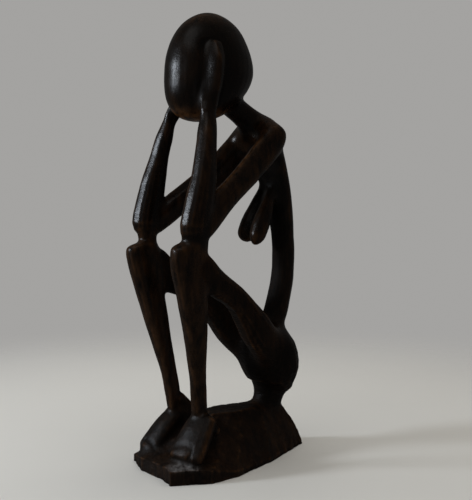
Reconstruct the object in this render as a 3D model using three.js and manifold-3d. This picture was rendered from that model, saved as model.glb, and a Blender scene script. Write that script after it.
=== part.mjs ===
// Seated wooden figurine: elbows on knees, hands on the head, on a chiselled block.
// Millimetres, +Z up. The figure faces -Y and its left side is +X.
// The origin is the middle of the flat underside of the block.
import * as THREE from "three";
import { ParametricGeometry } from "three/addons/geometries/ParametricGeometry.js";
import { mergeVertices } from "three/addons/utils/BufferGeometryUtils.js";
import Module from "manifold-3d";

// Glue line left between two members that meet, and how far a member is drawn
// into its neighbour before it is hollowed to the neighbour's surface
const GLUE_LINE = 0.3;
const ROOT = 6;

// Block
const BASE_LENGTH = 126;
const BASE_WIDTH = 78;
const BASE_HEIGHT = 34;
const BASE_RIM = 9.5;
const RIDGE_WIDTH = 22;
const RIDGE_FRONT = 18;
const RIDGE_BACK = 47;

// Feet and shins
const ANKLE_SPACING = 30;
const ANKLE_SETBACK = 30.5;
const ANKLE_RISE = 5;
const ANKLE_WIDTH = 9;
const ANKLE_DEPTH = 10;
const LEFT_FOOT_LENGTH = 17;
const RIGHT_FOOT_LENGTH = 20;
const LEFT_FOOT_WIDTH = 26;
const RIGHT_FOOT_WIDTH = 19;
const RIGHT_TOE_OUT = 3;
const LEFT_HEEL_WIDTH = 20;
const RIGHT_HEEL_WIDTH = 14.6;
const LEFT_HEEL_OUT = 2.6;
const RIGHT_HEEL_OUT = 0.4;
const FOOT_THICKNESS = 10;
const LEFT_TOE_HEIGHT = 14;
const RIGHT_TOE_HEIGHT = 11;
const LEFT_INSTEP_DROP = 4.5;
const RIGHT_INSTEP_DROP = 8;
const CLEFT_WIDTH = 1.6;
const CLEFT_LENGTH = 7;
const LEFT_FOOT_TURN = 24;
const RIGHT_FOOT_TURN = 4;
const KNEE_SPACING = 58;
const KNEE_FORWARD = 50.5;
const KNEE_HEIGHT = 147;
const KNEE_WIDTH = 16;
const KNEE_DEPTH = 24;
const LEFT_KNEE_CAP = 2.5;
const RIGHT_KNEE_CAP = 0.3;
const SHIN_BOW = 1.2;
const LEFT_HEEL_WEB = 4.5;
const RIGHT_HEEL_WEB = 11.5;

// Thighs and seat
const THIGH_SETBACK = 8;
const THIGH_DROP = 13;
const THIGH_WIDTH = 13.6;
const THIGH_THICKNESS = 15;
const THIGH_CREST = 7;
const LEFT_HAM_DEPTH = 18;
const RIGHT_HAM_DEPTH = 21.5;
const HIP_SPACING = 28;
const HIP_BACK = 26;
const HIP_HEIGHT = 74;
const SEAT_BACK = 36;
const SEAT_TOP = 87;
const SEAT_WIDTH = 48;
const SEAT_DEPTH = 40;
const SEAT_NECK_WIDTH = 20.5;
const SEAT_NECK_DEPTH = 21;
const SEAT_LEAN = 5;
const BUTTOCK_BACK = 3;

// Back and shoulders
const BACK_BULGE = 48;
const BACK_WIDTH = 18;
const BACK_THICKNESS = 14.6;
const SHOULDER_SPACING = 37;
const SHOULDER_BACK = 25;
const SHOULDER_DROP = 81.5;
const SHOULDER_THICKNESS = 20;
const SHOULDER_ARCH = 9;

// Head and neck
const OVERALL_HEIGHT = 298;
const HEAD_HEIGHT = 71;
const HEAD_WIDTH = 50;
const HEAD_DEPTH = 62;
const HEAD_FORWARD = 14.8;
const CHIN_FORWARD = 9;
const NECK_WIDTH = 15;
const NAPE_BACK = 10;
const NAPE_RISE = 18;

// Arms and hands
const ELBOW_LIFT = 13;
const ELBOW_SETBACK = 5;
const ELBOW_OUT = 1;
const ELBOW_WIDTH = 15.4;
const ELBOW_DEPTH = 19;
const LEFT_ELBOW_TIP = 17;
const RIGHT_ELBOW_TIP = 12.5;
const FOREARM_BOW = 3;
const LEFT_WRIST_WIDTH = 11.2;
const RIGHT_WRIST_WIDTH = 9.8;
const LEFT_WRIST_INSET = 3.5;
const RIGHT_WRIST_INSET = 2.5;
const LEFT_WRIST_FORWARD = 15.6;
const RIGHT_WRIST_FORWARD = 17.6;
const UPPER_ARM_WIDTH = 12.6;
const UPPER_ARM_DEPTH = 16;
const LEFT_ARM_END = 20;
const RIGHT_ARM_END = 16;
const UPPER_ARM_SETBACK = 4;
const LEFT_ARM_SAG = 2;
const RIGHT_ARM_SAG = 5;
const HAND_LENGTH = 50;
const HAND_WIDTH = 16.5;
const HAND_THICKNESS = 7.6;
const HAND_PROUD = 1.4;
const LEFT_HAND_LEAN = 2.2;
const RIGHT_HAND_LEAN = 7.5;

// Breasts
const BREAST_SPACING = 14.5;
const BREAST_DROP = 70.5;
const BREAST_LENGTH = 44;
const BREAST_STEM = 8;
const LEFT_BREAST_FORWARD = 28;
const RIGHT_BREAST_FORWARD = 26;
const LEFT_BREAST_WIDTH = 12.4;
const RIGHT_BREAST_WIDTH = 14.6;

// Fineness of the surfaces
const SIDES = 16;
const RING_STEP = 6;
const CAP_RINGS = 4;
const HEAD_SIDES = 32;
const HEAD_RINGS = 22;

const wasm = await Module();
wasm.setup();
const { Manifold, Mesh: SolidMesh } = wasm;
const { clamp, degToRad, lerp } = THREE.MathUtils;

const point = (x, y, z) => new THREE.Vector3(x, y, z);
const ACROSS = point(1, 0, 0);
const ALONG = point(0, 1, 0);

// A place part of the way from one landmark to another, moved aside by (dx, dy, dz)
const between = (a, b, t, dx = 0, dy = 0, dz = 0) =>
  a.clone().lerp(b, t).add(point(dx, dy, dz));

// A closed solid from a closed surface, without the collapsed triangles at its poles
function solid(surface) {
  const bare = new THREE.BufferGeometry();
  bare.setAttribute("position", surface.getAttribute("position"));
  bare.setIndex(surface.index);
  const welded = mergeVertices(bare);
  const corners = welded.index.array;
  const kept = [];
  for (let i = 0; i < corners.length; i += 3) {
    const [a, b, c] = corners.slice(i, i + 3);
    if (a !== b && b !== c && c !== a) {
      kept.push(a, b, c);
    }
  }
  return new Manifold(new SolidMesh({
    numProp: 3,
    vertProperties: new Float32Array(welded.getAttribute("position").array),
    triVerts: new Uint32Array(kept),
  }));
}

// A member lofted along a smooth centre line. Each station is a place on the line
// with the width (towards `across`) and the depth of the oval section there.
// Both ends are domed, with a squarer dome where `boxy` is under 1. `grow` swells
// the whole member evenly.
const station = (at, width, depth) => ({ at, half: point(width / 2, depth / 2, 0) });

function limb(stations, { grow = 0, across = ACROSS, dome = 0.8, boxy = 1 } = {}) {
  const line = new THREE.CatmullRomCurve3(stations.map((s) => s.at));
  const oval = new THREE.CatmullRomCurve3(stations.map((s) => s.half));
  const rings = Math.ceil(line.getLength() / RING_STEP);
  const stacks = rings + 2 * CAP_RINGS;

  const surface = (u, v, out) => {
    const ring = Math.round(v * stacks) - CAP_RINGS;
    const t = clamp(ring / rings, 0, 1);
    const past = (ring - t * rings) / CAP_RINGS;
    const centre = line.getPoint(t);
    const forward = line.getTangent(t);
    const side = across.clone().addScaledVector(forward, -across.dot(forward)).normalize();
    const front = forward.clone().cross(side);
    const half = oval.getPoint(t);
    const end = Math.min(half.x, half.y) * dome + grow;
    const shrink = Math.abs(past) === 1 ? 0 : Math.cos(past * Math.PI / 2) ** boxy;
    const rise = Math.sign(past) * Math.abs(Math.sin(past * Math.PI / 2)) ** boxy;
    const turn = u * 2 * Math.PI;
    out.copy(centre)
      .addScaledVector(forward, rise * end)
      .addScaledVector(side, (half.x + grow) * shrink * Math.cos(turn))
      .addScaledVector(front, (half.y + grow) * shrink * Math.sin(turn));
  };
  return solid(new ParametricGeometry(surface, SIDES, stacks));
}

// Landmarks of the skeleton, for the left (side = 1) and the right (side = -1)
const headBottom = OVERALL_HEIGHT - HEAD_HEIGHT;
const shoulderHeight = OVERALL_HEIGHT - SHOULDER_DROP;
const breastBottom = shoulderHeight - BREAST_DROP;
const ankle = (side) =>
  point(side * ANKLE_SPACING / 2, ANKLE_SETBACK - BASE_LENGTH / 2, BASE_HEIGHT + ANKLE_RISE);
const knee = (side) => point(side * KNEE_SPACING / 2, -KNEE_FORWARD, KNEE_HEIGHT);
const hip = (side) => point(side * HIP_SPACING / 2, HIP_BACK, HIP_HEIGHT);
const elbow = (side) => knee(side).add(point(side * ELBOW_OUT, ELBOW_SETBACK, ELBOW_LIFT));
const shoulder = (side) => point(side * SHOULDER_SPACING / 2, SHOULDER_BACK, shoulderHeight);
const wrist = (side) => {
  const inset = side > 0 ? LEFT_WRIST_INSET : RIGHT_WRIST_INSET;
  const forward = side > 0 ? LEFT_WRIST_FORWARD : RIGHT_WRIST_FORWARD;
  return point(side * (HEAD_WIDTH / 2 - inset), -HEAD_FORWARD - forward, headBottom);
};
const wristWidth = (side) => (side > 0 ? LEFT_WRIST_WIDTH : RIGHT_WRIST_WIDTH);

// Block: rings of chisel-cut corners from the underside up to the ridge.
// Each corner is its place across and along the block, as shares of the half width
// and half length, and the height of the upright rim there as a share of BASE_RIM.
const BASE_CORNERS = [
  [-0.80, -0.90, 0.45], [-0.25, -1.00, 0.9], [0.30, -0.97, 1], [0.70, -1.00, 1],
  [1.00, -0.62, 0.9], [0.98, -0.30, 0.4], [0.72, 0.25, 0.3], [0.22, 0.96, 0.3],
  [-0.24, 0.96, 0.3], [-0.74, 0.30, 0.3], [-0.98, -0.35, 0.8],
];
const SHELF_INSET = 0.34;

function block(grow = 0) {
  const ridgeMiddle = (RIDGE_BACK - RIDGE_FRONT) / 2;
  const ridgeHalf = (RIDGE_BACK + RIDGE_FRONT) / 2;
  const foot = ([x, y]) =>
    point(x * (BASE_WIDTH / 2 + grow), y * (BASE_LENGTH / 2 + grow), 0);
  const rim = ([x, y, high]) => foot([x, y]).setZ(BASE_RIM * high + grow);
  const ridge = ([x, y]) => point(
    x * (RIDGE_WIDTH / 2 + grow), ridgeMiddle + y * (ridgeHalf + grow), BASE_HEIGHT + grow);
  const shelf = (corner) => {
    const [low, high] = [rim(corner), ridge(corner)];
    return between(low, high, SHELF_INSET).setZ(lerp(low.z, high.z, 0.5 - 0.4 * corner[2]));
  };
  const levels = [() => point(0, 0, 0), foot, rim, shelf, ridge,
    () => point(0, ridgeMiddle, BASE_HEIGHT + grow)];
  const count = BASE_CORNERS.length;
  const surface = (u, v, out) => {
    const corner = BASE_CORNERS[Math.round(u * count) % count];
    out.copy(levels[Math.round(v * (levels.length - 1))](corner));
  };
  return solid(new ParametricGeometry(surface, count, levels.length - 1));
}

// Head: an egg turned from one profile, drawn out from front to back,
// with its underside led forward to the chin, more so under the nape
const EGG_WAIST = 0.45;
const NAPE_TUCK = 0.6;

function eggRadius(share) {
  const up = (share - EGG_WAIST) / (1 - EGG_WAIST);
  const down = (EGG_WAIST - share) / EGG_WAIST;
  return share > EGG_WAIST ? (1 - up ** 1.9) ** 0.5 : (1 - down ** 2) ** 0.43;
}

const chinLead = (share) => CHIN_FORWARD * Math.max(0, 1 - share / EGG_WAIST) ** 1.5;

function egg(grow = 0) {
  const outline = [];
  for (let i = 0; i <= HEAD_RINGS; i += 1) {
    const share = (1 - Math.cos(i / HEAD_RINGS * Math.PI)) / 2;
    const radius = i % HEAD_RINGS === 0 ? 0 : eggRadius(share);
    outline.push(new THREE.Vector2(radius, share));
  }
  const turned = new THREE.LatheGeometry(outline, HEAD_SIDES).rotateX(Math.PI / 2);
  const places = turned.getAttribute("position");
  for (let i = 0; i < places.count; i += 1) {
    const share = places.getZ(i);
    const lead = chinLead(share) * (1 + NAPE_TUCK * Math.max(0, places.getY(i)));
    places.setXYZ(i,
      places.getX(i) * (HEAD_WIDTH / 2 + grow),
      places.getY(i) * (HEAD_DEPTH / 2 + grow) - HEAD_FORWARD - lead,
      headBottom - grow + share * (HEAD_HEIGHT + 2 * grow));
  }
  return solid(turned);
}

// Half width of the head at one place on its side
function cheek(y, z) {
  const share = (z - headBottom) / HEAD_HEIGHT;
  const radius = eggRadius(share);
  const aside = (y + HEAD_FORWARD + chinLead(share)) / (radius * HEAD_DEPTH / 2);
  return radius * HEAD_WIDTH / 2 * Math.sqrt(1 - aside ** 2);
}

const heading = (side) => degToRad(side > 0 ? LEFT_FOOT_TURN : RIGHT_FOOT_TURN);
const acrossFoot = (side) => point(Math.cos(heading(side)), Math.sin(heading(side)), 0);
const footWidth = (side) => (side > 0 ? LEFT_FOOT_WIDTH : RIGHT_FOOT_WIDTH);
const toe = (side) => {
  const length = side > 0 ? LEFT_FOOT_LENGTH : RIGHT_FOOT_LENGTH;
  const height = side > 0 ? LEFT_TOE_HEIGHT : RIGHT_TOE_HEIGHT;
  const out = side > 0 ? 0 : RIGHT_TOE_OUT;
  const ahead = point(Math.sin(heading(side)), -Math.cos(heading(side)), 0);
  return ankle(side).setZ(height)
    .addScaledVector(ahead, length)
    .addScaledVector(acrossFoot(side), -out);
};

// Foot: a wedge that widens from the heel to the toes, with the heel set outwards
function foot(side, grow = 0) {
  const across = acrossFoot(side);
  const drop = side > 0 ? LEFT_INSTEP_DROP : RIGHT_INSTEP_DROP;
  const heel = side > 0 ? LEFT_HEEL_WIDTH : RIGHT_HEEL_WIDTH;
  const out = side > 0 ? LEFT_HEEL_OUT : -RIGHT_HEEL_OUT;
  const to = toe(side);
  const instep = ankle(side).sub(point(0, 0, drop));
  const sole = (t, spread, thick) => station(
    between(instep, to, t).addScaledVector(across, out * (1 - t)),
    lerp(heel, footWidth(side), spread), FOOT_THICKNESS * thick);
  return limb([
    sole(0, 0, 1.1), sole(0.3, 0.52, 1.3), sole(0.7, 0.92, 1.15), sole(1, 1, 1),
  ], { grow, across });
}

// Cleft beside the little toe: a blade that enters the tip of the foot from the front
function cleft(side) {
  const across = acrossFoot(side);
  const ahead = toe(side).sub(ankle(side)).setZ(0).normalize();
  const tip = toe(side).addScaledVector(across, side * footWidth(side) * 0.17);
  return limb([
    station(tip.clone().addScaledVector(ahead, FOOT_THICKNESS / 2), CLEFT_WIDTH * 1.4, FOOT_THICKNESS * 2),
    station(tip.clone().addScaledVector(ahead, FOOT_THICKNESS / 2 - CLEFT_LENGTH), CLEFT_WIDTH / 2,
      FOOT_THICKNESS / 2),
  ], { across });
}

// Heel web: a tongue that slopes from the back of the ankle down onto the ridge
function heelWeb(side, grow) {
  const web = side > 0 ? LEFT_HEEL_WEB : RIGHT_HEEL_WEB;
  const sunk = ANKLE_DEPTH / 2 * Math.SQRT1_2;
  const low = ankle(side).add(point(0, ANKLE_DEPTH / 2 - sunk + web, -ANKLE_RISE - sunk));
  return limb([
    station(low, ANKLE_WIDTH, ANKLE_DEPTH),
    station(low.clone().add(point(0, -web, web)), ANKLE_WIDTH, ANKLE_DEPTH),
  ], { grow });
}

function shin(side, grow = 0) {
  const [from, to] = [ankle(side), knee(side)];
  const bow = side * SHIN_BOW;
  const cap = side > 0 ? LEFT_KNEE_CAP : RIGHT_KNEE_CAP;
  return limb([
    station(between(from, to, 0, 0, 0, -ROOT), ANKLE_WIDTH, ANKLE_DEPTH),
    station(between(from, to, 0.18), ANKLE_WIDTH, ANKLE_DEPTH),
    station(between(from, to, 0.43, bow), KNEE_WIDTH * 0.76, KNEE_DEPTH * 0.58),
    station(between(from, to, 0.68, bow), KNEE_WIDTH * 0.97, KNEE_DEPTH * 0.8),
    station(between(from, to, 0.88), KNEE_WIDTH, KNEE_DEPTH),
    station(between(from, to, 0.97, 0, 0, cap), KNEE_WIDTH * 0.97, KNEE_DEPTH),
  ], { grow, dome: 0.5, boxy: 0.7 }).add(heelWeb(side, grow));
}

function thigh(side, grow = 0) {
  const from = knee(side).add(point(0, THIGH_SETBACK, -THIGH_DROP));
  const to = hip(side);
  const ham = side > 0 ? LEFT_HAM_DEPTH : RIGHT_HAM_DEPTH;
  return limb([
    station(from, THIGH_WIDTH, ham * 1.15),
    station(between(from, to, 0.14, 0, 0, THIGH_CREST * 1.4 - ham / 2), THIGH_WIDTH, ham),
    station(between(from, to, 0.48, 0, 0, THIGH_CREST), THIGH_WIDTH, THIGH_THICKNESS),
    station(between(from, to, 0.67, 0, 0, THIGH_CREST * 0.7), THIGH_WIDTH * 1.2, THIGH_THICKNESS * 1.25),
    station(between(from, to, 0.8, 0, 0, THIGH_CREST * 0.3), THIGH_WIDTH * 1.35, THIGH_THICKNESS * 1.55),
    station(to, THIGH_WIDTH * 1.4, THIGH_THICKNESS * 1.8),
  ], { grow });
}

function seat(grow = 0) {
  const low = point(0, SEAT_BACK, BASE_HEIGHT);
  const high = point(0, SEAT_BACK - SEAT_LEAN, SEAT_TOP);
  return limb([
    station(low, SEAT_NECK_WIDTH, SEAT_NECK_DEPTH),
    station(between(low, high, 0.11), SEAT_NECK_WIDTH, SEAT_NECK_DEPTH),
    station(between(low, high, 0.25, 0, BUTTOCK_BACK), SEAT_WIDTH * 0.77, SEAT_DEPTH * 0.72),
    station(between(low, high, 0.42, 0, BUTTOCK_BACK), SEAT_WIDTH * 0.95, SEAT_DEPTH * 0.92),
    station(between(low, high, 0.57, 0, BUTTOCK_BACK * 0.7), SEAT_WIDTH, SEAT_DEPTH),
    station(between(low, high, 0.8), SEAT_WIDTH, SEAT_DEPTH * 0.92),
    station(high, SEAT_WIDTH * 0.75, SEAT_DEPTH * 0.65),
  ], { grow, dome: 0.35 });
}

function back(grow = 0) {
  const low = point(0, SEAT_BACK - SEAT_LEAN / 2, SEAT_TOP - ROOT);
  const high = point(0, SHOULDER_BACK + SHOULDER_THICKNESS / 4, shoulderHeight + SHOULDER_ARCH / 2);
  const at = (t, end, bulge) =>
    point(0, lerp(end.y, BACK_BULGE, bulge), lerp(low.z, high.z, t));
  return limb([
    station(low, BACK_WIDTH * 1.1, BACK_THICKNESS * 1.2),
    station(at(0.12, low, 0.57), BACK_WIDTH * 1.05, BACK_THICKNESS * 1.1),
    station(at(0.3, low, 1), BACK_WIDTH, BACK_THICKNESS),
    station(at(0.5, high, 1), BACK_WIDTH, BACK_THICKNESS),
    station(at(0.71, high, 0.73), BACK_WIDTH * 1.35, BACK_THICKNESS * 1.05),
    station(at(0.9, high, 0.17), BACK_WIDTH * 1.9, BACK_THICKNESS * 1.2),
    station(high, BACK_WIDTH * 2, BACK_THICKNESS * 1.1),
  ], { grow });
}

function shoulders(grow = 0) {
  const middle = point(0, SHOULDER_BACK, shoulderHeight + SHOULDER_ARCH);
  return limb([
    station(shoulder(-1), SHOULDER_THICKNESS, SHOULDER_THICKNESS),
    station(middle, SHOULDER_THICKNESS, SHOULDER_THICKNESS),
    station(shoulder(1), SHOULDER_THICKNESS, SHOULDER_THICKNESS),
  ], { grow, across: ALONG });
}

function neck(grow = 0) {
  const low = point(0, SHOULDER_BACK, shoulderHeight + SHOULDER_ARCH);
  const high = point(0, NAPE_BACK - HEAD_FORWARD, headBottom + NAPE_RISE);
  return limb([
    station(low, NECK_WIDTH * 1.45, NECK_WIDTH * 1.35),
    station(between(low, high, 0.5), NECK_WIDTH * 1.05, NECK_WIDTH * 1.06),
    station(high, NECK_WIDTH * 1.15, NECK_WIDTH * 1.15),
  ], { grow });
}

function upperArm(side, grow = 0) {
  const sag = side > 0 ? LEFT_ARM_SAG : RIGHT_ARM_SAG;
  const end = side > 0 ? LEFT_ARM_END : RIGHT_ARM_END;
  const [from, to] = [shoulder(side), elbow(side).add(point(0, UPPER_ARM_SETBACK, 0))];
  return limb([
    station(from, UPPER_ARM_WIDTH * 1.25, UPPER_ARM_DEPTH * 1.25),
    station(between(from, to, 0.3, 0, 0, -sag), UPPER_ARM_WIDTH, UPPER_ARM_DEPTH * 1.1),
    station(between(from, to, 0.6, 0, 0, -sag / 2), UPPER_ARM_WIDTH, UPPER_ARM_DEPTH),
    station(to, UPPER_ARM_WIDTH, end),
  ], { grow });
}

function forearm(side, grow = 0) {
  const tip = side > 0 ? LEFT_ELBOW_TIP : RIGHT_ELBOW_TIP;
  const [from, to] = [elbow(side), wrist(side)];
  const narrow = wristWidth(side);
  const bow = side * FOREARM_BOW;
  return limb([
    station(between(from, knee(side), 1, 0, ELBOW_SETBACK, -ROOT), tip * 0.75, tip),
    station(between(from, knee(side), 0.6, 0, ELBOW_SETBACK * 0.7), tip * 0.75, tip),
    station(from, ELBOW_WIDTH, ELBOW_DEPTH),
    station(between(from, to, 0.22, bow * 0.7), ELBOW_WIDTH, ELBOW_DEPTH * 0.95),
    station(between(from, to, 0.46, bow), ELBOW_WIDTH * 0.86, ELBOW_DEPTH * 0.8),
    station(between(from, to, 0.74, bow * 0.7), narrow * 1.05, narrow * 1.08),
    station(to, narrow, narrow),
  ], { grow });
}

// Hand: a flat paddle laid along the side of the head
function hand(side, grow = 0) {
  const from = wrist(side);
  const lean = side > 0 ? LEFT_HAND_LEAN : RIGHT_HAND_LEAN;
  const on = (t) => {
    const [y, z] = [from.y + Math.sqrt(t) * lean, from.z + t * HAND_LENGTH];
    return point(side * (cheek(y, z) + HAND_PROUD), y, z);
  };
  return limb([
    station(from, wristWidth(side) * 0.9, wristWidth(side)),
    station(on(0.25), HAND_THICKNESS * 1.1, HAND_WIDTH * 0.83),
    station(on(0.5), HAND_THICKNESS, HAND_WIDTH * 0.95),
    station(on(0.75), HAND_THICKNESS, HAND_WIDTH),
    station(on(0.95), HAND_THICKNESS, HAND_WIDTH * 0.78),
  ], { grow, dome: 0.6 });
}

// Breast: a drop that hangs from a stem on the back; the left one ends in a point
function breast(side, grow = 0) {
  const wide = side > 0 ? LEFT_BREAST_WIDTH : RIGHT_BREAST_WIDTH;
  const forward = side > 0 ? LEFT_BREAST_FORWARD : RIGHT_BREAST_FORWARD;
  const low = point(side * BREAST_SPACING / 2, BACK_BULGE - forward, breastBottom + wide / 2);
  const high = point(
    side * BREAST_SPACING * 0.31, BACK_BULGE - BACK_THICKNESS * 0.7, breastBottom + BREAST_LENGTH);
  const round = (share) => lerp(BREAST_STEM, wide, share);
  const tip = side > 0 ? { dome: 1.3, boxy: 1.25 } : { dome: 1 };
  return limb([
    station(high, BREAST_STEM, BREAST_STEM),
    station(between(low, high, 0.6), round(0.3), round(0.3)),
    station(between(low, high, 0.2), wide, wide),
    station(low, wide * 0.92, wide * 0.92),
  ], { grow, ...tip });
}

// Coped joint: a member hollowed to its neighbours, one glue line clear of them.
// The largest body is the member; offcuts beyond a neighbour fall away.
function coped(body, ...neighbours) {
  const left = neighbours.reduce((rest, neighbour) => rest.subtract(neighbour), body);
  const bodies = left.decompose();
  bodies.sort((a, b) => b.volume() - a.volume());
  return bodies[0];
}

const finish = (name, color, roughness) =>
  new THREE.MeshStandardMaterial({ name, color, roughness, metalness: 0 });
const waxed = () => finish("waxed_wood", 0x33241b, 0.4);
const rasped = () => finish("rasped_wood", 0x35261c, 0.6);
const chiselled = () => finish("chiselled_wood", 0x2c2019, 0.7);

const figure = new THREE.Group();
figure.name = "seated_figurine";

function place(name, body, material) {
  const { vertProperties, triVerts } = body.getMesh();
  const geometry = new THREE.BufferGeometry();
  geometry.setAttribute("position", new THREE.BufferAttribute(vertProperties, 3));
  geometry.setIndex(new THREE.BufferAttribute(triVerts, 1));
  geometry.computeVertexNormals();
  const mesh = new THREE.Mesh(geometry, material);
  mesh.name = name;
  figure.add(mesh);
}

// Neighbours swollen by the glue line are the cutters
const gap = GLUE_LINE;
const cutters = {
  block: block(gap), seat: seat(gap), back: back(gap), shoulders: shoulders(gap), egg: egg(gap),
};

place("base", block(), chiselled());
place("seat", coped(seat(), cutters.block), rasped());
place("back", coped(back(), cutters.seat, cutters.shoulders), waxed());
place("shoulders", shoulders(), waxed());
place("neck", coped(neck(), cutters.shoulders, cutters.back, cutters.egg), waxed());
place("head", egg(), waxed());

for (const [name, side] of [["left", 1], ["right", -1]]) {
  const knees = [shin(side, gap), thigh(side, gap)];
  place(`${name}_foot`, coped(foot(side), cutters.block, cleft(side)), chiselled());
  place(`${name}_shin`, coped(shin(side), cutters.block, foot(side, gap)), waxed());
  place(`${name}_thigh`, coped(thigh(side), knees[0], cutters.seat, cutters.back), rasped());
  place(`${name}_hand`, coped(hand(side), cutters.egg), waxed());
  place(`${name}_forearm`, coped(forearm(side), ...knees, hand(side, gap), cutters.egg), waxed());
  place(`${name}_upper_arm`, coped(upperArm(side), ...knees, forearm(side, gap),
    cutters.shoulders, cutters.back), waxed());
  place(`${name}_breast`, coped(breast(side), cutters.back, cutters.shoulders), waxed());
}

export default figure;
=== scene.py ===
# %% [markdown]
# # A seated wooden figurine
# The real figurine is one piece of dark stained wood: a long figure sits on a
# rough block, elbows on knees, and holds an egg-shaped head in both hands.
# The CAD model gives twenty members with thin glue lines between them. This
# lesson closes those lines into one carving, works the surface as a carver
# would, and saws the result into the same twenty members without a visible
# seam, so every piece still stands for its own CAD node.

# %% Load the frame and keep its box
import math

import bmesh
import bpy
import numpy as np
from mathutils import Matrix, Vector
from mathutils.bvhtree import BVHTree


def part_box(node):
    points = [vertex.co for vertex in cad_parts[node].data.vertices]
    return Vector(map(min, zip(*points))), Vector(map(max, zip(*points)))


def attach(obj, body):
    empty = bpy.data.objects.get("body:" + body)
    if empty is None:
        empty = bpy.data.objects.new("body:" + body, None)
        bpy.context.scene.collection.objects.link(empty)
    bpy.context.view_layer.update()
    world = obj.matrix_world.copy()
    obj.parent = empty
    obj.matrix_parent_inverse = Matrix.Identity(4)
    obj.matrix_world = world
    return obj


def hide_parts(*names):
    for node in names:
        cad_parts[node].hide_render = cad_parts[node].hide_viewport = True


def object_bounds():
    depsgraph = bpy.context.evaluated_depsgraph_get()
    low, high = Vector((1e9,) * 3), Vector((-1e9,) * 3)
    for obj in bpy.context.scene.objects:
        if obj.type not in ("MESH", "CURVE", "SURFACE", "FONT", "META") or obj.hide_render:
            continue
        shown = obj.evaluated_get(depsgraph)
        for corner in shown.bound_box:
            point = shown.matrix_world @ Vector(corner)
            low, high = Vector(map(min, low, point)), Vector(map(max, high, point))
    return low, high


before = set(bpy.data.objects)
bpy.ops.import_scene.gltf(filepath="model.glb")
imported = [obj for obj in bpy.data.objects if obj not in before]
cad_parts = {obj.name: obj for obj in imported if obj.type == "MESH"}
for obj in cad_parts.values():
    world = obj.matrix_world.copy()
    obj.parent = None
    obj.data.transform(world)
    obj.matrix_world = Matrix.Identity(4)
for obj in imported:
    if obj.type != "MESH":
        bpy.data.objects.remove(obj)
cad_low, cad_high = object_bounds()
members = sorted(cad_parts)
MM = 0.001
print(len(members), "members, box", [round(v / MM, 1) for v in (*cad_low, *cad_high)], "mm")

# %% [markdown]
# ## Rough out the blank
# A carver starts from one solid blank. The members are copied into one bmesh
# and swollen a little, so that neighbours overlap across the glue line. A
# voxel remesh then gives one even skin over all of them. A boolean union
# would keep every crease and facet; the even skin can be sanded. Under the web
# behind each heel the members leave a slit, which a small egg of wood closes.

# %% Join the members into one blank
SIDES = ("left_", "right_")
SWELL = 0.4 * MM
VOXEL = 0.75 * MM
WELD = 0.01 * MM
EGG_HALF = (7 * MM, 4 * MM, 3.5 * MM)
EGG_INWARDS, EGG_BACK, EGG_UP = 3 * MM, 0.6 * MM, 0.7 * MM


def as_object(name, bm):
    mesh = bpy.data.meshes.new(name)
    bm.to_mesh(mesh)
    bm.free()
    thing = bpy.data.objects.new(name, mesh)
    bpy.context.scene.collection.objects.link(thing)
    return thing


def heel_egg(side):
    """Place and half sizes of the wood under the web behind one heel."""
    (left, _, _), (right, heel, _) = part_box(side + "foot")
    inwards = -EGG_INWARDS if side == "left_" else EGG_INWARDS
    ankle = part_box(side + "shin")[0][2]
    place = ((left + right) / 2 + inwards, heel + EGG_BACK, ankle + EGG_UP)
    return Matrix.Translation(place) @ Matrix.Diagonal((*EGG_HALF, 1))


def rough_blank():
    bm = bmesh.new()
    for member in members:
        bm.from_mesh(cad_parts[member].data)
    for side in SIDES:
        bmesh.ops.create_uvsphere(bm, u_segments=16, v_segments=10, radius=1, matrix=heel_egg(side))
    bmesh.ops.remove_doubles(bm, verts=bm.verts, dist=WELD)
    bm.normal_update()
    for v in bm.verts:
        v.co += v.normal * SWELL
    return as_object("blank", bm)


blank = rough_blank()
skin = blank.modifiers.new("even_skin", "REMESH")
skin.mode = "VOXEL"
skin.voxel_size = VOXEL
skinned = bpy.data.meshes.new_from_object(
    blank.evaluated_get(bpy.context.evaluated_depsgraph_get()))
bpy.data.objects.remove(blank)
print("blank:", len(skinned.vertices), "points,", len(skinned.polygons), "faces")

# %% [markdown]
# The remesh can leave small bubbles where glue lines were. Only the largest
# island is the carving, so the others are deleted. After this step the number
# and order of the points never changes: all carving moves points only.

# %% Keep the largest island


def components(number, pairs):
    """Gives joined items the same number, by passing the lowest one along."""
    group = np.arange(number)
    while True:
        low = np.minimum(group[pairs[:, 0]], group[pairs[:, 1]])
        lower = group.copy()
        np.minimum.at(lower, pairs[:, 0], low)
        np.minimum.at(lower, pairs[:, 1], low)
        lower = lower[lower]
        if (lower == group).all():
            return group
        group = lower


def read(collection, field, width, kind):
    values = np.empty(len(collection) * width, kind)
    collection.foreach_get(field, values)
    return values.reshape(-1, width)


def keep_largest(mesh):
    island = components(len(mesh.vertices), read(mesh.edges, "vertices", 2, np.int32))
    largest = np.bincount(island).argmax()
    bm = bmesh.new()
    bm.from_mesh(mesh)
    bubbles = [v for v in bm.verts if island[v.index] != largest]
    bmesh.ops.delete(bm, geom=bubbles, context="VERTS")
    bm.to_mesh(mesh)
    bm.free()
    return len(bubbles)


print("points in bubbles:", keep_largest(skinned), "left:", len(skinned.vertices))

# %% [markdown]
# ## Mark out the members
# Each face of the skin is given to the CAD member that lies nearest to it.
# One search tree over all members answers that. Neighbouring faces then vote,
# which straightens the borders, and stray patches go to the member around
# them, so every member ends as one patch of skin.

# %% Points, edges and faces as arrays
co = read(skinned.vertices, "co", 3, np.float32).astype(float)
ends = read(skinned.edges, "vertices", 2, np.int32).T
quads = read(skinned.polygons, "vertices", 4, np.int32)
count = len(co)
valence = np.bincount(ends.ravel(), minlength=count)[:, None]


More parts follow.
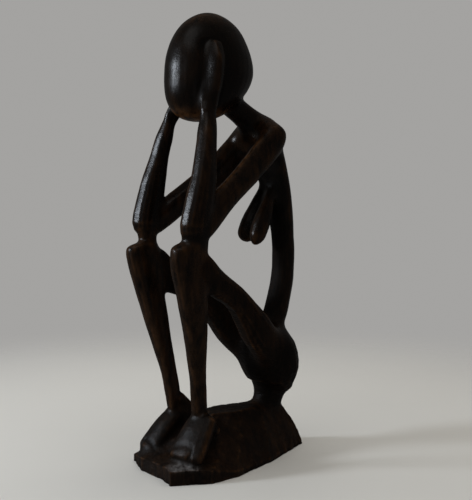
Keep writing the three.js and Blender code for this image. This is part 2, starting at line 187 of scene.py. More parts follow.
def face_neighbours():
    sides = np.sort(np.concatenate([quads[:, [k, (k + 1) % 4]] for k in range(4)]), axis=1)
    face = np.tile(np.arange(len(quads)), 4)
    order = np.lexsort((sides[:, 1], sides[:, 0]))
    same = (sides[order][1:] == sides[order][:-1]).all(1)
    return np.stack([face[order][1:][same], face[order][:-1][same]], axis=1)


face_pairs = face_neighbours()
print(count, "points,", len(quads), "faces,", len(face_pairs), "shared edges")

# %% Give every face a member
OWN_VOTE, ROUNDS = 1.5, 6


def nearest_member():
    corners, faces, owner = [], [], []
    for k, member in enumerate(members):
        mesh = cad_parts[member].data
        first = len(corners)
        corners += [v.co.copy() for v in mesh.vertices]
        faces += [[first + i for i in p.vertices] for p in mesh.polygons]
        owner += [k] * len(mesh.polygons)
    tree = BVHTree.FromPolygons(corners, faces)
    centres = co[quads].mean(1)
    return np.array([owner[tree.find_nearest(Vector(c))[2]] for c in centres])


def voted(mark):
    votes = np.zeros((len(mark), len(members)))
    np.add.at(votes, (face_pairs[:, 0], mark[face_pairs[:, 1]]), 1)
    np.add.at(votes, (face_pairs[:, 1], mark[face_pairs[:, 0]]), 1)
    votes[np.arange(len(mark)), mark] += OWN_VOTE
    return votes.argmax(1)


mark = nearest_member()
for _ in range(ROUNDS):
    mark = voted(mark)
print({m: int((mark == k).sum()) for k, m in enumerate(members)})

# %% Hand stray patches to the member around them
alike = face_pairs[mark[face_pairs[:, 0]] == mark[face_pairs[:, 1]]]
patch = components(len(mark), alike)
size = np.bincount(patch, minlength=len(mark))
main_patch = np.empty(len(members), int)
for k in range(len(members)):
    own = patch[mark == k]
    main_patch[k] = own[size[own].argmax()]
loose = patch != main_patch[mark]
print("faces in stray patches:", int(loose.sum()))
while loose.any():
    for a, b in (face_pairs.T, face_pairs.T[::-1]):
        takes = loose[a] & ~loose[b]
        mark[a[takes]] = mark[b[takes]]
        loose[a[takes]] = False

# %% [markdown]
# ## Sand the carving
# Sanding pulls each point towards the middle of its neighbours. Pulling alone
# makes thin limbs thinner, so each pull is followed by a slightly stronger
# push back: bumps shorter than about a centimetre go, the girth stays. The
# block and the feet are sanded less and keep their chisel edges, the egg of
# the head is sanded most.

# %% Sanding helpers


def mean_around(values, edges, number):
    total = np.empty_like(values)
    for k in range(values.shape[1]):
        total[:, k] = np.bincount(edges[0], values[edges[1], k], number)
        total[:, k] += np.bincount(edges[1], values[edges[0], k], number)
    return total


def blurred(values, passes):
    values = values[:, None].astype(float)
    for _ in range(passes):
        values = 0.5 * values + 0.5 * mean_around(values, ends, count) / valence
    return values[:, 0]


def outward(places):
    a, b, c, d = (places[quads[:, k]] for k in range(4))
    face = np.cross(c - a, d - b)
    total = np.zeros_like(places)
    for k in range(4):
        for axis in range(3):
            total[:, axis] += np.bincount(quads[:, k], face[:, axis], count)
    return total / np.maximum(np.linalg.norm(total, axis=1), 1e-12)[:, None]


def eased(places, zone, passes, push=0.0, wear=1.0):
    """Pulls the skin even inside the zone; wear says how much a ridge may sink."""
    local = (zone[ends] > 0).any(0)
    used, edges = np.unique(ends[:, local], return_inverse=True)
    edges = edges.reshape(2, -1)
    spot, out = places[used], outward(places)[used]
    pull = 0.5 * zone[used, None]
    near = np.bincount(edges.ravel(), minlength=len(used))[:, None]
    for _ in range(passes):
        step = pull * (mean_around(spot, edges, len(used)) / near - spot)
        sink = np.minimum((step * out).sum(1, keepdims=True), 0)
        spot = spot + step - (1 - wear) * sink * out
        if push:
            spot = spot - push * pull * (mean_around(spot, edges, len(used)) / near - spot)
    moved = places.copy()
    moved[used] = spot
    return moved


print("mean edge of the skin %.2f mm" % (np.linalg.norm(co[ends[0]] - co[ends[1]], axis=1).mean() / MM))

# %% Find members on the skin


def on_members(*names):
    """True on the points of these members."""
    wanted = np.isin(mark, [members.index(n) for n in names])
    inside = np.zeros(count, bool)
    inside[quads[wanted].ravel()] = True
    return inside


def both(*stems):
    return [side + stem for stem in stems for side in SIDES]


print("points on the head:", int(on_members("head").sum()))

# %% Sand the figure smooth, the head smoothest and the block lightly
PASSES, PUSH_BACK = 34, 1.06
SKULL_PASSES, SKULL_PUSH_BACK = 260, 1.015
UNSANDED_BLOCK, UNSANDED_FEET = 0.85, 0.6
rough = blurred(on_members("base"), 5)
toes = blurred(on_members(*both("foot")), 6)
near_hands = blurred(on_members(*both("hand")), 24)
skull = np.clip(blurred(on_members("head"), 8) - 4 * near_hands, 0, 1)
before = co
co = eased(co, 1 - np.clip(UNSANDED_BLOCK * rough + UNSANDED_FEET * toes, 0, 1), PASSES, PUSH_BACK)
co = eased(co, skull, SKULL_PASSES, SKULL_PUSH_BACK)
print("largest move by sanding %.2f mm" % (np.abs(co - before).max() / MM))

# %% [markdown]
# ## Plane the limbs
# The limbs are not round: a knife took long flat shavings, and soft edges run
# along them. The long axis of a limb comes from its own points. Where the skin
# faces halfway between the limb's side and its top or underside, it is pushed
# out, which turns an oval into a soft square. The knife was not held square to
# the figure, so the flats of each limb are turned about its axis.

# %% Give the limbs long soft edges


def planed(places, member, amount, turn):
    cloud = places[on_members(member)]
    axis = np.linalg.svd(cloud - cloud.mean(0), full_matrices=False)[2][0]
    axis = -axis if axis[2] > 0 else axis
    side = np.array([1.0, 0, 0]) - axis[0] * axis
    side /= np.linalg.norm(side)
    top = np.cross(axis, side)
    flat = math.cos(math.radians(turn)) * side + math.sin(math.radians(turn)) * top
    out = outward(places)
    edge = (2 * np.abs(out @ flat) * np.abs(out @ np.cross(axis, flat))) ** 2
    share = blurred(on_members(member), 8)
    return places + out * (amount * MM * edge * share)[:, None]


# Limb, how far its edges come out (mm), and how far its left and right flats are turned (degrees).
flats = [
    ("thigh", 1.1, 0, 0),
    ("shin", 0.5, 0, 0),
    ("upper_arm", 0.9, 25, -25),
    ("forearm", 0.6, -18, -18),
]
for stem, amount, *turns in flats:
    for side, turn in zip(SIDES, turns):
        co = planed(co, side + stem, amount, turn)
        print(side + stem, "edges pushed out by", amount, "mm, flats turned by", turn, "degrees")

# %% [markdown]
# ## Round the joints over
# Where two members meet, the real carving flows from one into the other. The
# border between two marks is found, and the skin within reach of it is pulled
# even, without the push back, which fills the crease. `wear` says how much a
# ridge may sink at the same time: hips and shoulders run out softly, while
# elbows, toes and the back edge of each hand stay sharp.

# %% Fill the crease between two groups of members
PAIRS_AT_ONCE = 2_000_000


def zone_around(points, places, reach):
    """1 at the points, falling softly to 0 at the reach (mm)."""
    reach = reach * MM
    away = np.full(len(places), reach)
    close = ((places > points.min(0) - reach) & (places < points.max(0) + reach)).all(1)
    chunks = 1 + close.sum() * len(points) // PAIRS_AT_ONCE
    for chunk in np.array_split(np.flatnonzero(close), chunks):
        gap = np.linalg.norm(places[chunk, None] - points[None], axis=2).min(1)
        away[chunk] = np.minimum(gap, reach)
    share = 1 - away / reach
    return share ** 2 * (3 - 2 * share)


def filled(places, seam, reach, passes, wear):
    if not seam.any():
        return places
    return eased(places, zone_around(places[seam], places, reach), passes, wear=wear)


def border(first, second):
    return on_members(*first) & on_members(*second)


# Two groups of members, the reach (mm), how often the skin is pulled, and the wear.
joints = [
    (["seat"], both("thigh"), 17, 220, 1.0),
    (["seat"], ["back"], 13, 140, 0.5),
    (["back"], both("thigh"), 14, 180, 0.4),
    (["seat"], ["base"], 16, 240, 0.5),
    (["shoulders"], both("upper_arm"), 15, 180, 0.5),
    (["back"], both("upper_arm"), 9, 90, 0.2),
    (["neck"], ["shoulders", "back"], 14, 190, 0.1),
    (["shoulders"], ["back"], 13, 150, 0.5),
    (["neck"], both("upper_arm"), 13, 180, 0.0),
    (["neck"], ["head"], 6, 60, 0.0),
    (both("breast"), ["back", "shoulders"], 13, 170, 0.7),
    (["left_breast"], ["right_breast"], 5, 60, 0.0),
    (both("shin"), both("foot"), 9, 110, 0.0),
    (both("shin"), ["base"], 8, 90, 0.0),
    (["left_foot"], ["base"], 4, 50, 0.0),
    (["right_foot"], ["base"], 8, 130, 0.0),
    (both("shin"), both("thigh"), 11, 130, 0.5),
    (both("forearm"), both("upper_arm"), 6, 60, 0.2),
    (both("forearm"), both("shin", "thigh"), 2.5, 20, 0.0),
    (both("forearm"), both("hand"), 12, 140, 0.35),
    (both("upper_arm"), both("thigh", "shin"), 3, 30, 0.0),
]
for first, second, reach, passes, wear in joints:
    co = filled(co, border(first, second), reach, passes, wear)
print(len(joints), "kinds of joint rounded")

# %% [markdown]
# Behind each heel a web of wood runs from the shin out over the ridge of the
# block. The same filling blends it in, on the back half of that border.

# %% Web behind the heels
WEB_DEPTH, WEB_REACH, WEB_PASSES = 7 * MM, 10, 200
for side in SIDES:
    web_from = co[on_members(side + "foot"), 1].max() - WEB_DEPTH
    web = border([side + "foot", side + "shin"], ["base"]) & (co[:, 1] > web_from)
    co = filled(co, web, WEB_REACH, WEB_PASSES, 0.0)
    print(side + "heel: web over", int(web.sum()), "points")

# %% [markdown]
# Each hand is laid on the head: its front runs out into the cheek, its back
# edge stands proud. A search tree of the CAD head tells how high the hand
# stands above it, and a line through the middle of the hand tells front from
# back. Towards the front the height is cut down, the back edge is raised, and
# the front half of the border is filled. The finger tips are thin, and lean
# back a little. A boolean cut would leave a crease all round the hand.

# %% Height above the head
head_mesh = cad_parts["head"].data
head_tree = BVHTree.FromPolygons(
    [v.co for v in head_mesh.vertices], [tuple(p.vertices) for p in head_mesh.polygons])


def thinned(places, share):
    """Cuts the height above the head down by this share, or raises it if below 0."""
    moved = places.copy()
    for k in np.flatnonzero(np.abs(share) > 0.01):
        under = np.array(head_tree.find_nearest(Vector(places[k]))[0])
        moved[k] = places[k] - share[k] * (places[k] - under)
    return moved


def rise(values, start, length):
    """0 up to the start, then evenly up to 1 over the length."""
    return np.clip((values - start) / length, 0, 1)


print("head tree over", len(head_mesh.polygons), "faces")

# %% Let the front of each hand run out into the head
chin, crown = (corner[2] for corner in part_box("head"))
LEAN_BACK = 2.4 * MM
FINGERS, WEDGE = 16 * MM, 6.5 * MM
MIDDLE_CUT, MOST_CUT, TIP_CUT, BACK_RAISED = 0.1, 0.9, 0.45, 0.45
for side in SIDES:
    on_hand = on_members(side + "hand")
    slope, start = np.polyfit(co[on_hand, 2], co[on_hand, 1], 1)
    ahead = slope * co[:, 2] + start - co[:, 1]
    wrist, tip = co[on_hand, 2].min(), co[on_hand, 2].max()
    above_chin = rise(co[:, 2], chin + 6 * MM, 12 * MM)
    to_tip = rise(tip - co[:, 2], 0, FINGERS)
    share = np.clip(MIDDLE_CUT + ahead / WEDGE, -BACK_RAISED * to_tip, MOST_CUT)
    share = np.minimum(share + TIP_CUT * (1 - to_tip) ** 2, MOST_CUT)
    co = thinned(co, share * blurred(on_hand, 4) * above_chin)
    front = border([side + "hand"], ["head"]) & (ahead > 1.0 * MM)
    co = filled(co, front & (above_chin > 0.8), 6, 90, 0.9)
    co = filled(co, front & (above_chin <= 0.8), 5, 70, 1.0)
    co[:, 1] += LEAN_BACK * rise(co[:, 2], wrist, tip - wrist) * blurred(on_hand, 12)
    print(side + "hand leans %.1f degrees" % math.degrees(math.atan(slope)))

# %% [markdown]
# The knee caps and the feet are worn round by handling. Here plain pulling is
# right: it takes the sharp rims down and leaves the rest alone. Each foot then
# gets what a few knife strokes leave: a flat instep with an edge along its
# outer side, one cleft beside the little toe, and a fold across the toes. The
# way from the ankle to the middle of the foot says where the tip is.

# %% Wear the knee caps and the feet round
KNEE_CAP, CAP_PASSES, TOE_PASSES = 9 * MM, 26, 8
for side in SIDES:
    knee_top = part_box(side + "shin")[1][2]
    cap = on_members(side + "shin") & (co[:, 2] > knee_top - KNEE_CAP)
    co = eased(co, blurred(cap, 6), CAP_PASSES)
co = eased(co, toes, TOE_PASSES)
print("knee caps and feet worn round")

# %% Cut the instep and the toes
ANKLE_HEIGHT, EDGE_OUT = 8 * MM, 1.0 * MM
CLEFT_AT, CLEFT_LONG, CLEFT_WIDE, CLEFT_DEEP = 0.34, 4 * MM, 0.9 * MM, 0.6 * MM
FOLD_BACK, FOLD_WIDE, FOLD_DEEP = 4.5 * MM, 1.3 * MM, 0.5 * MM


def groove(distance, width):
    return np.exp(-(distance / width) ** 2)


def foot_cuts(places, side):
    """How far the skin of one foot moves out along its own facing."""
    sole, leg = on_members(side + "foot"), on_members(side + "shin")
    ankle = places[leg & (places[:, 2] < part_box(side + "shin")[0][2] + ANKLE_HEIGHT)].mean(0)
    ahead = (places[sole].mean(0) - ankle) * (1, 1, 0)
    ahead /= np.linalg.norm(ahead)
    outer = np.cross(ahead, (0, 0, 1)) * (-1 if side == "left_" else 1)
    reach, aside = (places - ankle) @ ahead, (places - ankle) @ outer
    half = np.abs(aside[sole]).max()
    to_tip = reach[sole].max() - reach
    crest = 0.5 * ahead + outer + (0, 0, 0.75)
    edge = np.clip(outward(places) @ crest / np.linalg.norm(crest), 0, 1) ** 10
    cleft = groove(aside - CLEFT_AT * half, CLEFT_WIDE) * np.clip(1.2 - to_tip / CLEFT_LONG, 0, 1)
    fold = groove(to_tip - FOLD_BACK, FOLD_WIDE) * (aside < CLEFT_AT * half)
    return (EDGE_OUT * edge - CLEFT_DEEP * cleft - FOLD_DEEP * fold) * blurred(sole, 3)


for side in SIDES:
    cuts = foot_cuts(co, side)
    co += outward(co) * cuts[:, None]
    print(side + "foot: edge %.2f mm out, toes %.2f mm in" % (cuts.max() / MM, -cuts.min() / MM))

# %% [markdown]
# ## Tool marks
# One spot of the block, in front of the toes, is rubbed flat. The skin first
# goes back in by what the blank was swollen. A plane is then fitted through the
# points of the spot, and the skin is drawn onto it: plain pulling would only
# soften the spot, not level it.

# %% Rub one spot of the block flat
RUBBED_AT, RUBBED_REACH = np.array((29, -55)) * MM, 13 * MM
co -= outward(co) * SWELL
from_spot = np.linalg.norm(co[:, :2] - RUBBED_AT, axis=1) / RUBBED_REACH
# This mask flattens the rubbed spot; the finish later also paints it grey, a painted sheen.
polish = on_members("base") * np.clip(1.6 - 1.6 * from_spot, 0, 1) * (outward(co)[:, 2] > 0.35)
spot = co[polish > 0.5]
plane = np.linalg.lstsq(np.c_[spot[:, :2], np.ones(len(spot))], spot[:, 2], rcond=None)[0]
polish = blurred(polish, 4)
co[:, 2] += polish * (co[:, :2] @ plane[:2] + plane[2] - co[:, 2])
print("rubbed spot:", len(spot), "points")

# %% [markdown]
# No hand-made surface is perfectly even. A few long waves make the sanded
# limbs wander by some tenths of a millimetre, so that highlights break up.
# The block gets shallow gouge scoops that meet in soft ridges: each point
# takes the deepest scoop that reaches it. Around its rim the gouge was driven
# straight down, so those scoops are long and upright. Torn grain adds a finer
# unevenness. All of it moves the skin itself, so it shows in the outline too,
# which a bump in the finish would not.

# %% Wobble and scoop helpers
rng = np.random.default_rng(7)


def wobble(places, wavelength, waves=9):
    height = np.zeros(count)
    for _ in range(waves):
        way = rng.normal(size=3)
        way /= np.linalg.norm(way)
        turns = rng.uniform(0.7, 1.4) / wavelength
        height += np.sin(places @ way * turns * 2 * math.pi + rng.uniform(0, 2 * math.pi))
    return height / waves ** 0.5


def scoops(places, zone, number, radius, depth, tall=1.0):
    cut = np.zeros(count)
    for middle in rng.choice(np.flatnonzero(zone > 0.5), number):
        r = rng.uniform(0.6, 1.3) * radius
        away = (places - places[middle]) / (1, 1, tall)
        near = np.flatnonzero(np.abs(away).max(1) < r)
        dish = 1 - (away[near] ** 2).sum(1) / r ** 2
        cut[near] = np.maximum(cut[near], rng.uniform(0.4, 1.0) * depth * np.clip(dish, 0, 1))
    return cut


print("points on the block:", int((rough > 0.5).sum()))

# %% Hand wobble, gouge scoops and torn grain
RIM_HEIGHT = 9 * MM
drift = wobble(co, 24 * MM) * 0.13 * MM + wobble(co, 9 * MM) * 0.035 * MM
co += outward(co) * drift[:, None]
rim = rough * (co[:, 2] < RIM_HEIGHT)
marks = scoops(co, rough, 150, 10 * MM, 0.55 * MM) + scoops(co, rim, 130, 3.5 * MM, 0.7 * MM, tall=3.0)
co -= outward(co) * (rough * (1 - polish) * marks)[:, None]
torn = wobble(co, 6 * MM, 14) * 0.09 * MM + wobble(co, 3 * MM, 18) * 0.085 * MM
where_torn = np.clip(rough + 0.25 * toes, 0, 1) * (1 - 0.7 * polish)
co += outward(co) * (where_torn * torn)[:, None]
print("deepest gouge scoop %.2f mm" % (marks.max() / MM))

# %% [markdown]
# ## Wear
# Stain rubs off where hands and shelves touch: ridges and knuckles turn brown.
# How far a point stands above the mean of its wider neighbourhood measures
# that. The figure's own hands kept most of their stain, while the chin's
# underside, the crown, the shoulders, the limbs and the block took less of it
# from the start. The rear of the block is drawn paler again, which is painted
# light. The rasp was used where a knife can't reach: between the thighs, under
# them and low on the seat. No cloth reached the hollows, the belly side of the
# back or the corner between wrist and cheek, so the wax stayed dull there. The
# results are stored on the points, and the finish reads them: a mask painted by
# hand would be lost with every change of shape.

# %% Measure ridges, hollows and the rasped side
GAIN = 2.2
CORNER_HEIGHT, CORNER_REACH = 22 * MM, 5
everywhere = np.ones(count)
facing = outward(co)
stand = blurred(((co - eased(co, everywhere, 14)) * facing).sum(1) / MM, 2)
ridge = np.clip(stand * GAIN - 0.12, 0, 1)
# Hollows stay dull, and the finish also paints them darker: painted shade.
hollow = np.clip(-stand * GAIN - 0.1, 0, 1)
to_middle = -facing[:, 0] * np.sign(co[:, 0])
inner = np.maximum.reduce([-facing[:, 1], -facing[:, 2] * 1.2, to_middle])
seat_foot, seat_top = (corner[2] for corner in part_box("seat"))
low_seat = seat_foot + 0.75 * (seat_top - seat_foot)
hidden = on_members("seat", *both("thigh")) & ((inner > 0.25) | (co[:, 2] < low_seat))
rasp = blurred(hidden, 8)
belly = blurred(on_members("back") & (facing[:, 1] < -0.2), 8)
corner = border(both("hand", "forearm"), ["head"]) & (co[:, 2] < chin + CORNER_HEIGHT)
dull = np.clip(hollow + belly + zone_around(co[corner], co, CORNER_REACH), 0, 1)
print("ridge mean %.3f, hollow mean %.3f" % (ridge.mean(), hollow.mean()))
print("rasped points:", int(hidden.sum()))

# %% Measure the thinly stained places and the painted light at the block's rear
THIN_STAIN = {"shin": 0.5, "upper_arm": 0.35, "thigh": 0.2}
CHIN_EDGE, CROWN_CAP, ELBOW_TIP, LIT_BLOCK_REAR = 5 * MM, 12 * MM, 6 * MM, 20 * MM


def below(height, soft):
    return np.clip((height + soft - co[:, 2]) / soft, 0, 1)


on_crown = 1 - below(crown - CROWN_CAP, 10 * MM)
pale = on_members("head") * (below(chin + CHIN_EDGE, 6 * MM) + 0.85 * on_crown)
for side in SIDES:
    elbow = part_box(side + "forearm")[0][2]
    pale = pale + 0.8 * on_members(side + "forearm") * below(elbow + ELBOW_TIP, 5 * MM)
    for stem, share in THIN_STAIN.items():
        pale = pale + share * on_members(side + stem)
# The rear half of the block is drawn paler still: painted light, not stain.
pale = pale + 0.5 * on_members("shoulders") + 0.5 * rough * (0.55 + 0.45 * (co[:, 1] > LIT_BLOCK_REAR))
pale = np.clip(blurred(pale, 12), 0, 1)
under_chin = blurred(on_members("head") * below(chin + 3 * MM, 5 * MM), 8)
ridge = np.clip(ridge + under_chin, 0, 1) * (1 - 0.65 * blurred(on_members(*both("hand")), 6))
print("thinly stained: mean %.3f" % pale.mean())

# %% [markdown]
# ## Keep inside the real size
# The packed box is the real size, so no point may leave it. The underside of
# the block is planed flat at height zero.

# %% Plane the underside and clip to the box
PLANED_OFF = 0.7 * MM
co[:, 2] = np.where(co[:, 2] < PLANED_OFF, 0, co[:, 2])
co = np.clip(co, np.array(cad_low), np.array(cad_high))
skinned.vertices.foreach_set("co", co.astype(np.float32).ravel())
skinned.update()
print("box", (co.min(0) / MM).round(2), (co.max(0) / MM).round(2))

# %% [markdown]
# ## Saw the carving into its members
# Every member gets a material number, and Blender's separate operator parts
# the skin by it. The open ends are filled and poked to a shallow dish, so each
# member is closed. The shading normals come from the whole carving, so light
# runs over the cuts as if they were not there.

# %% Store the measures on the points
measures = {
    "ridge": ridge, "hollow": hollow, "rasp": rasp, "rough": np.clip(rough + 0.45 * toes, 0, 1),
    "pale": pale, "polish": polish, "dull": dull,
}


def store(name, values, kind="FLOAT", field="value"):
    layer = skinned.attributes.new(name, kind, "POINT")
    layer.data.foreach_set(field, values.astype(np.float32).ravel())


for name, values in measures.items():
    store(name, values)
store("run", outward(co), "FLOAT_VECTOR", "vector")
print("stored:", [*measures, "run"])

# %% Part the skin by member
for member in members:
    skinned.materials.append(bpy.data.materials.new("mark_" + member))
skinned.polygons.foreach_set("material_index", mark.astype(np.int32))
skinned.polygons.foreach_set("use_smooth", np.ones(len(mark), bool))
carving = bpy.data.objects.new("carving", skinned)
bpy.context.scene.collection.objects.link(carving)
bpy.ops.object.select_all(action="DESELECT")
bpy.context.view_layer.objects.active = carving
carving.select_set(True)
bpy.ops.object.mode_set(mode="EDIT")
bpy.ops.mesh.select_all(action="SELECT")
bpy.ops.mesh.separate(type="MATERIAL")
bpy.ops.object.mode_set(mode="OBJECT")
sawn = {o.data.materials[0].name.removeprefix("mark_"): o for o in bpy.context.selected_objects}
print("sawn into", len(sawn))

# %% Close the cuts and shade the pieces as one
DISH = 0.15 * MM


def close_cuts(mesh):
    bm = bmesh.new()
    bm.from_mesh(mesh)
    for v in list(bm.verts):
        cut = [e for e in v.link_edges if e.is_boundary]
        if len(cut) > 2:
            bmesh.utils.vert_separate(v, cut)
    cut = [e for e in bm.edges if e.is_boundary]
    caps = bmesh.ops.holes_fill(bm, edges=cut, sides=0)["faces"]
    caps = bmesh.ops.poke(bm, faces=caps, offset=-DISH, center_mode="MEAN")["faces"]
    for f in caps:
        f.smooth = False
    still_open = sum(not e.is_manifold for e in bm.edges)
    bm.to_mesh(mesh)
    bm.free()
    return still_open


def shade_as_one(mesh):
    """Shading normals of the whole carving on its skin, flat ones on the cuts."""
    smooth = read(mesh.polygons, "use_smooth", 1, bool)[:, 0]
    per_face = read(mesh.polygons, "loop_total", 1, np.int32)[:, 0]
    flat = np.repeat(read(mesh.polygons, "normal", 3, np.float32), per_face, axis=0)
    corner = read(mesh.loops, "vertex_index", 1, np.int32)[:, 0]
    along = read(mesh.attributes["run"].data, "vector", 3, np.float32)[corner]
    normals = np.where(np.repeat(smooth, per_face)[:, None], along, flat)
    mesh.normals_split_custom_set(normals.tolist())
    mesh.attributes.remove(mesh.attributes["run"])


for member, piece in sorted(sawn.items()):
    piece.name = piece.data.name = "carved_" + member
    still_open = close_cuts(piece.data)
    shade_as_one(piece.data)
    print(member, len(piece.data.polygons), "faces, open edges", still_open)

# %% [markdown]
# ## Stained wood
# The wood is stained nearly black and waxed. Painted pictures could give that,
# but patterns worked out from each point's own place need no unwrapping and run
# on across the cuts. A small helper keeps the recipes short: it adds a node,
# feeds it and hands back the socket that comes out.

# %% Helper that adds and links nodes


class Recipe:
    """One material: adds its nodes and links them."""

    def __init__(self, name):
        self.material = bpy.data.materials.new(name)
        self.material.use_nodes = True
        self.tree = self.material.node_tree
        self.shader = self.tree.nodes["Principled BSDF"]
        self.places = self.add("ShaderNodeTexCoord").outputs["Object"]

    def add(self, kind, inputs=None, **settings):
        node = self.tree.nodes.new(kind)
        for key, value in settings.items():
            setattr(node, key, value)
        for key, value in (inputs or {}).items():
            self.feed(node.inputs[key], value)
        return node

    def feed(self, socket, value):
        if isinstance(value, bpy.types.NodeSocket):
            self.tree.links.new(value, socket)
        else:
            socket.default_value = value

    def math(self, operation, a, b=0.0, clamp=False):
        node = self.add("ShaderNodeMath", {0: a, 1: b}, operation=operation)
        node.use_clamp = clamp
        return node.outputs[0]

    def weighed(self, start, *parts, clamp=False):
        """Adds patterns to the start, each times its weight."""
        total = start
        for pattern, weight in parts:
            total = self.math("ADD", self.math("MULTIPLY", pattern, weight), total, clamp)
        return total

    def stretched(self, scale, turn=(0, 0, 0)):
        inputs = {"Vector": self.places, "Scale": scale, "Rotation": turn}
        return self.add("ShaderNodeMapping", inputs).outputs[0]

    def noise(self, scale, detail=4.0, where=None, roughness=0.55):
        inputs = {"Scale": scale, "Detail": detail, "Roughness": roughness}
        node = self.add("ShaderNodeTexNoise", inputs)
        self.feed(node.inputs["Vector"], where or self.places)
        return node.outputs["Fac"]

    def stored(self, name):
        return self.add("ShaderNodeAttribute", attribute_name=name).outputs["Fac"]

    def ramp(self, value, *stops):
        node = self.add("ShaderNodeValToRGB", {"Fac": value})
        band = node.color_ramp.elements
        while len(band) < len(stops):
            band.new(0.5)
        for element, (at, colour) in zip(band, stops):
            element.position = at
            element.color = (*colour, 1)
        return node.outputs["Color"]

    def mix(self, share, a, b):
        node = self.add("ShaderNodeMix", data_type="RGBA")
        self.feed(node.inputs["Factor"], share)
        self.feed(node.inputs["A"], a)
        self.feed(node.inputs["B"], b)
        return node.outputs["Result"]


print("a recipe can:", [name for name in vars(Recipe) if not name.startswith("_")])

# %% [markdown]
# One recipe makes all finishes, from one set of patterns. Fine grain runs up
# the blank as stretched noise, and the stain is uneven in clouds. The rasped
# thighs and seat add cross strokes, the block adds a torn chisel surface.

# %% Patterns of the wood
BLACK, WHITE = (0, 0, 0), (1, 1, 1)


def wood_patterns(r):
    """The measures stored on the points and the noises of the wood, by name."""
    pattern = {name: r.stored(name) for name in measures}
    pattern["grain"] = r.noise(1.0, 6.0, r.stretched((900, 900, 55)), 0.6)
    pattern["clouds"] = r.noise(38.0, 3.0)
    pattern["uneven"] = r.noise(95.0, 4.0)
    pattern["pits"] = r.noise(430.0, 3.0, roughness=0.5)
    pattern["pores"] = r.noise(1300.0, 3.0, roughness=0.6)
    torn = r.noise(520.0, 6.0, roughness=0.7)
    pattern["torn"] = r.math("MULTIPLY", pattern["rough"], torn)
    scuff = r.noise(1.0, 5.0, r.stretched((210, 210, 62)), 0.65)
    pattern["patchy"] = r.ramp(scuff, (0.36, BLACK), (0.66, WHITE))
    strokes = r.noise(1.0, 3.0, r.stretched((210, 210, 780), (0.1, 0.16, 0)), 0.5)
    strokes = r.ramp(strokes, (0.40, BLACK), (0.62, WHITE))
    pattern["strokes"] = r.math("MULTIPLY", pattern["rasp"], strokes)
    return pattern


print("stored measures in the finish:", len(measures))

# %% [markdown]
# The stain goes on first. Pale places and worn ridges then show brown and bare
# wood in patches; the paler rear of the block is painted light. Hollows are
# drawn darker, as painted shade, and the rubbed spot is drawn grey, as a
# painted sheen. Each is one mix over the last.

# %% Colour of the wood
STAIN_DARK = (0.0018, 0.0011, 0.0007)
STAIN = (0.0044, 0.0024, 0.0013)
STAIN_THIN = (0.0130, 0.0062, 0.0030)
BARE = (0.110, 0.046, 0.0150, 1)
BROWN = (0.041, 0.0180, 0.0068, 1)
# Dark colour that paints shade into the hollows.
HOLLOW_SHADE = (0.0020, 0.0015, 0.0012, 1)
# Grey colour that paints a sheen on the rubbed spot.
RUBBED_SHEEN = (0.150, 0.145, 0.145, 1)


def stain_colour(r, pattern):
    tone = r.weighed(0.0, (pattern["grain"], 0.55), (pattern["clouds"], 0.6))
    wood = r.ramp(tone, (0.36, STAIN_DARK), (0.57, STAIN), (0.82, STAIN_THIN))
    patchy = pattern["patchy"]
    wood = r.mix(r.math("MULTIPLY", pattern["pale"], patchy, True), wood, BROWN)
    wood = r.mix(r.math("MULTIPLY", pattern["ridge"], patchy, True), wood, BARE)
    # Painted shade: the hollows are darkened.
    wood = r.mix(r.math("MULTIPLY", pattern["hollow"], 0.7), wood, HOLLOW_SHADE)
    # Painted sheen: the rubbed spot is greyed.
    return r.mix(r.math("MULTIPLY", pattern["polish"], patchy, True), wood, RUBBED_SHEEN)


print("stain from", STAIN_DARK, "to", STAIN_THIN)

# %% [markdown]
# Gloss and relief are sums of the same patterns, so that a pore is dull as well
# as deep. The three finishes differ in shine: the waxed limbs most, the rasped
# thighs and seat least.

# %% Gloss, relief and the three finishes


def wax_gloss(r, pattern):
    weights = {"uneven": 0.16, "pores": 0.14, "dull": 0.4, "rasp": 0.12, "strokes": 0.2, "rough": 0.28}
    return r.weighed(0.14, *((pattern[name], weight) for name, weight in weights.items()), clamp=True)


def relief(r, pattern):
    weights = {"grain": 0.05, "pores": 0.17, "strokes": 0.34, "torn": 1.2, "uneven": 0.12, "pits": 0.11}
    height = r.weighed(0.0, *((pattern[name], weight) for name, weight in weights.items()))
    bump = r.add("ShaderNodeBump", {"Height": height, "Strength": 0.55, "Distance": 0.9 * MM})
    return bump.outputs["Normal"]


def stained_wood(name, shine):
    r = Recipe(name)
    pattern = wood_patterns(r)
    r.feed(r.shader.inputs["Base Color"], stain_colour(r, pattern))
    r.feed(r.shader.inputs["Roughness"], wax_gloss(r, pattern))
    r.feed(r.shader.inputs["Normal"], relief(r, pattern))
    r.shader.inputs["IOR"].default_value = 1.5
    r.shader.inputs["Specular IOR Level"].default_value = shine
    return r.material


SHINE = {"waxed_wood": 0.18, "rasped_wood": 0.11, "chiselled_wood": 0.15}
finishes = {slot: stained_wood(slot, shine) for slot, shine in SHINE.items()}
print("finishes:", SHINE)

# %% [markdown]
# ## Put each piece in its place
# Every sawn piece rides on the one body, hides the CAD node that it stands
# for, and takes the material slot listed for that member below.

# %% Dress the members
slots = dict.fromkeys(members, "waxed_wood")
slots.update(dict.fromkeys(["base", *both("foot")], "chiselled_wood"))
slots.update(dict.fromkeys(["seat", *both("thigh")], "rasped_wood"))
for member, piece in sorted(sawn.items()):
    slot = slots[member]
    piece.data.materials.clear()
    piece.data.materials.append(finishes[slot])
    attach(piece, "root")
    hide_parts(member)
print("pieces dressed:", len(sawn))

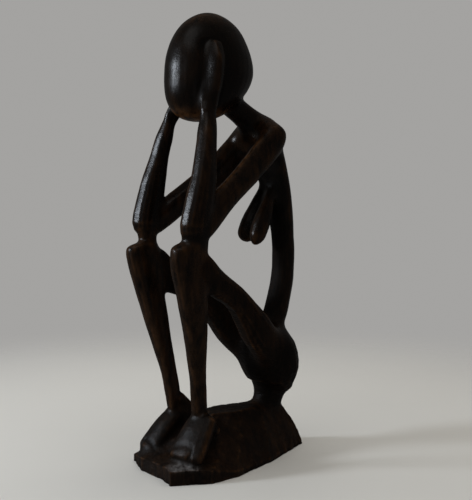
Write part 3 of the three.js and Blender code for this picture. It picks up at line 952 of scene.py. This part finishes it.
# %% [markdown]
# ## Floor, light and camera
# A pale floor that fades out towards its edge meets the pale room without a
# hard line. A small soft light from the front left draws the long highlights
# down the head and forearms, and a dim one high in front adds a faint sheen. A
# wide one overhead lights the floor, and a weak one behind lifts the shaded
# side. The floor and those last two are kept out of the reflections: mirrored
# in the wax, they would turn the dark wood grey.

# %% Floor
FLOOR_RADIUS, FADE_FROM, FADE_TO = 2.2, 0.22, 0.6
FLOOR_SHADE, FLOOR_PALE = (0.66, 0.645, 0.605), (0.69, 0.675, 0.635)


def pale_floor():
    bm = bmesh.new()
    bmesh.ops.create_circle(bm, cap_ends=True, segments=96, radius=FLOOR_RADIUS)
    floor = as_object("floor", bm)
    r = Recipe("pale_floor")
    cloudy = r.ramp(r.noise(3.0), (0.3, FLOOR_SHADE), (0.7, FLOOR_PALE))
    r.feed(r.shader.inputs["Base Color"], cloudy)
    r.feed(r.shader.inputs["Roughness"], 0.85)
    r.feed(r.shader.inputs["Specular IOR Level"], 0.2)
    away = r.add("ShaderNodeVectorMath", {0: r.places}, operation="LENGTH").outputs["Value"]
    band = {"Value": away, "From Min": FADE_FROM, "From Max": FADE_TO, "To Min": 1.0, "To Max": 0.0}
    fade = r.add("ShaderNodeMapRange", band, interpolation_type="SMOOTHSTEP")
    r.feed(r.shader.inputs["Alpha"], fade.outputs["Result"])
    floor.data.materials.append(r.material)
    floor.visible_glossy = False
    return floor


floor = pale_floor()
print("floor:", floor.name)

# %% Room, bright to look at but weak as a light
SEEN, LIT = 0.37, 0.08
scene = bpy.context.scene
room = bpy.data.worlds.new("pale_room")
scene.world = room
room.use_nodes = True
sky = room.node_tree
looked_at = sky.nodes.new("ShaderNodeLightPath").outputs["Is Camera Ray"]
strength = sky.nodes.new("ShaderNodeMapRange")
strength.inputs["To Min"].default_value = LIT
strength.inputs["To Max"].default_value = SEEN
sky.links.new(looked_at, strength.inputs["Value"])
sky.links.new(strength.outputs["Result"], sky.nodes["Background"].inputs["Strength"])
sky.nodes["Background"].inputs["Color"].default_value = (1.0, 0.985, 0.96, 1)
scene.view_settings.view_transform = "Standard"
print("room seen at", SEEN, "and lighting at", LIT)

# %% Light
AIM = Vector((0, 0, 0.15))
COOL, NEUTRAL, WARM = (0.84, 0.91, 1.0), (1.0, 0.99, 0.97), (1.0, 0.93, 0.82)


def soft_light(name, place, size, power, colour, shine=True):
    lamp = bpy.data.lights.new(name, "AREA")
    lamp.shape = "ELLIPSE"
    lamp.size, lamp.size_y = size
    lamp.energy = power
    lamp.color = colour
    thing = bpy.data.objects.new(name, lamp)
    thing.location = place
    thing.rotation_euler = (AIM - Vector(place)).to_track_quat("-Z", "Y").to_euler()
    thing.visible_glossy = shine
    scene.collection.objects.link(thing)


soft_light("window", (-0.50, -1.08, 0.52), (0.26, 0.20), 9, COOL)
soft_light("skylight", (0.15, -0.9, 1.6), (1.0, 1.0), 2.2, NEUTRAL)
soft_light("ceiling", (0.0, 0.1, 1.9), (2.4, 2.4), 20.5, NEUTRAL, shine=False)
soft_light("fill", (-0.35, 0.75, 1.8), (1.6, 1.6), 3, WARM, shine=False)

# %% Camera, turned to the figure's left and dipped a little
CAMERA_AT = (0.4409, -0.3133, 0.176)
TURN, DIP = math.radians(54), math.radians(3.58)
lens = bpy.data.cameras.new("camera")
lens.lens = 57.6
lens.sensor_width = 36
lens.sensor_fit = "AUTO"
camera = bpy.data.objects.new("camera", lens)
sight = Vector((-math.sin(TURN) * math.cos(DIP), math.cos(TURN) * math.cos(DIP), -math.sin(DIP)))
camera.location = CAMERA_AT
camera.rotation_euler = sight.to_track_quat("-Z", "Y").to_euler()
scene.collection.objects.link(camera)
scene.camera = camera
print("camera at", tuple(camera.location))

# %% [markdown]
